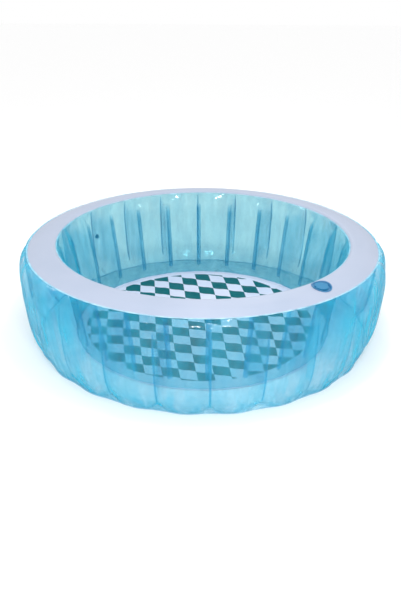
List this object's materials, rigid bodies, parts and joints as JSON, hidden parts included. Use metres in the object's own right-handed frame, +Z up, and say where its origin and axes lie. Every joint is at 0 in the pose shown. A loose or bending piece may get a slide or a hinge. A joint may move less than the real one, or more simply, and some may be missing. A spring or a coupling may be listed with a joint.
{
  "type": "inflatable pool",
  "caption": "Round clear-walled inflatable pool with radial inner webs, white top ring, check-printed floor, screw-in air valve, stem valve and floor drain.",
  "frame": {"origin": "centre of the flat underside, at floor level", "axes": "+Z straight up out of the pool; -Y is the front, and the main valve is on the top ring at the front right (+X, -Y)"},
  "size_m": [1.9528, 1.9528, 0.534],
  "materials": {
    "clear_blue_film": "clear tinted vinyl sheet, glossy",
    "white_film": "opaque white vinyl sheet, satin",
    "printed_floor": "white vinyl sheet printed with dark green checks",
    "soft_blue_vinyl": "soft moulded vinyl, blue",
    "blue_moulding": "moulded plastic, mid blue",
    "dark_seal": "dark blue-grey rubber",
    "silicone": "pale silicone"
  },
  "bodies": {
    "pool": {"base_sheet": "clear_blue_film", "drain_seat": "soft_blue_vinyl", "floor_sheet": "printed_floor", "inner_wall": "clear_blue_film", "outer_wall": "clear_blue_film", "stem_valve": "soft_blue_vinyl", "top_sheet": "white_film", "valve_flange": "soft_blue_vinyl", "web_01": "clear_blue_film", "web_02": "clear_blue_film", "web_03": "clear_blue_film", "web_04": "clear_blue_film", "web_05": "clear_blue_film", "web_06": "clear_blue_film", "web_07": "clear_blue_film", "web_08": "clear_blue_film", "web_09": "clear_blue_film", "web_10": "clear_blue_film", "web_11": "clear_blue_film", "web_12": "clear_blue_film", "web_13": "clear_blue_film", "web_14": "clear_blue_film", "web_15": "clear_blue_film", "web_16": "clear_blue_film", "web_17": "clear_blue_film", "web_18": "clear_blue_film", "web_19": "clear_blue_film", "web_20": "clear_blue_film", "web_21": "clear_blue_film", "web_22": "clear_blue_film", "web_23": "clear_blue_film", "web_24": "clear_blue_film"},
    "gasket": {"valve_gasket": "dark_seal"},
    "insert": {"valve_insert": "blue_moulding"},
    "check_flap": {"valve_check_flap": "silicone"},
    "cap": {"valve_cap": "blue_moulding"},
    "stem_flap": {"stem_check_flap": "silicone"},
    "stem_plug": {"stem_plug": "blue_moulding"},
    "drain_plug": {"drain_plug": "blue_moulding", "drain_seal": "dark_seal"}
  },
  "joints": [
    {"name": "insert_rise", "type": "slide", "parent": "pool", "child": "gasket", "axis": [0.1067, -0.1271, 0.9861], "range_m": [0, 0.012]},
    {"name": "insert_turn", "type": "hinge", "parent": "gasket", "child": "insert", "pos_m": [0.54047, -0.64411, 0.51859], "axis": [0.1067, -0.1271, 0.9861], "range_deg": [0, 1080]},
    {"name": "check_flap_lift", "type": "slide", "parent": "insert", "child": "check_flap", "axis": [-0.1067, 0.1271, -0.9861], "range_m": [0, 0.005], "stiffness_N_per_m": 20, "springref_m": -0.002},
    {"name": "valve_cap_flip", "type": "hinge", "parent": "insert", "child": "cap", "pos_m": [0.56968, -0.62135, 0.52653], "axis": [0.6339, -0.7554, -0.166], "range_deg": [-120, 0]},
    {"name": "stem_flap_swing", "type": "hinge", "parent": "pool", "child": "stem_flap", "pos_m": [-0.6703, 0.6703, 0.2595], "axis": [-0.7071, -0.7071, 0], "range_deg": [0, 55], "stiffness_Nm_per_rad": 0.0002},
    {"name": "stem_plug_pull", "type": "slide", "parent": "pool", "child": "stem_plug", "axis": [-0.7071, 0.7071, 0], "range_m": [0, 0.02]},
    {"name": "drain_plug_lift", "type": "slide", "parent": "pool", "child": "drain_plug", "axis": [0, 0, 1], "range_m": [0, 0.05]}
  ],
  "couplings": [
    {"joint": "insert_turn", "follows": "insert_rise", "rad_per_m": 1570.8}
  ]
}
